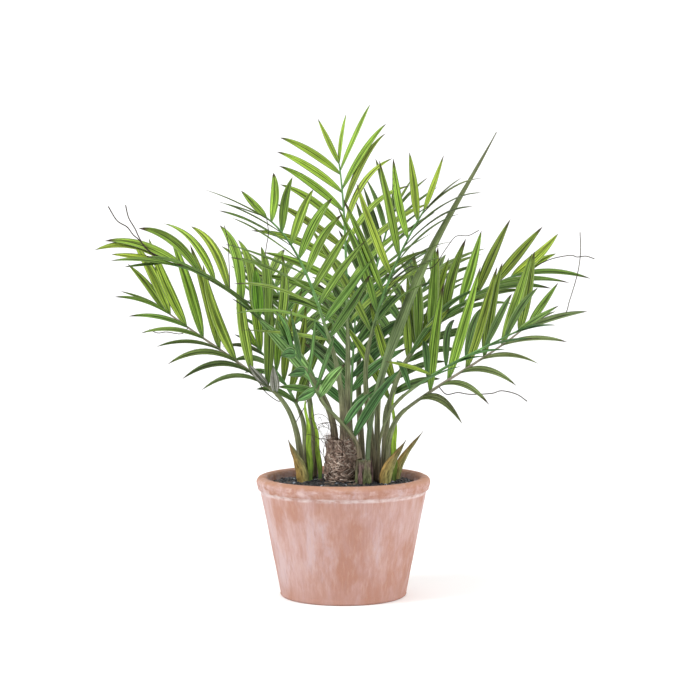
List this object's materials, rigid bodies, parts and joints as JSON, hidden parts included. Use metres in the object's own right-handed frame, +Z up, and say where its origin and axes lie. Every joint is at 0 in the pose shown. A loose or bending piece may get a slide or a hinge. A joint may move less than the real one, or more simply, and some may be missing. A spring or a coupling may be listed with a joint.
{
  "type": "potted artificial areca palm",
  "caption": "Small artificial areca palm with arching feather-shaped fronds, a rolled new leaf and a fibrous stub, standing in a round terracotta pot.",
  "frame": {"origin": "middle of the pot's flat underside, where the plant stands", "axes": "+Z up; -Y is the side that the picture shows; +X to that view's right"},
  "size_m": [0.5637, 0.4592, 0.5663],
  "materials": {
    "terracotta": "matte",
    "soil": "matte",
    "fibre": "matte",
    "stem": "satin",
    "sheath": "satin",
    "young": "satin",
    "leaf": "satin"
  },
  "bodies": {
    "root": {"pot": "terracotta", "soil": "soil", "trunk_stub": "fibre", "side_stem": "stem", "spear_leaf": "stem", "sheath_left": "sheath", "sheath_right": "sheath", "sheath_right_outer": "sheath", "young_leaf_left": "young", "young_leaf_left_back": "young", "young_leaf_right": "young", "petiole_left_low": "stem", "petiole_left_high": "stem", "petiole_front_left": "stem", "petiole_top": "stem", "petiole_centre_right": "stem", "petiole_top_right": "stem", "petiole_right_front": "stem", "petiole_right_low": "stem", "petiole_right_high": "stem", "petiole_inner_left": "stem", "petiole_inner_right": "stem", "petiole_back_left": "stem", "petiole_back": "stem", "petiole_back_right": "stem", "petiole_front": "stem", "petiole_centre": "stem", "frond_left_low": "leaf", "frond_left_high": "leaf", "frond_front_left": "leaf", "frond_top": "leaf", "frond_centre_right": "leaf", "frond_top_right": "leaf", "frond_right_front": "leaf", "frond_right_low": "leaf", "frond_right_high": "leaf", "frond_inner_left": "leaf", "frond_inner_right": "leaf", "frond_back_left": "leaf", "frond_back": "leaf", "frond_back_right": "leaf", "frond_front": "leaf", "frond_centre": "leaf"}
  },
  "joints": []
}
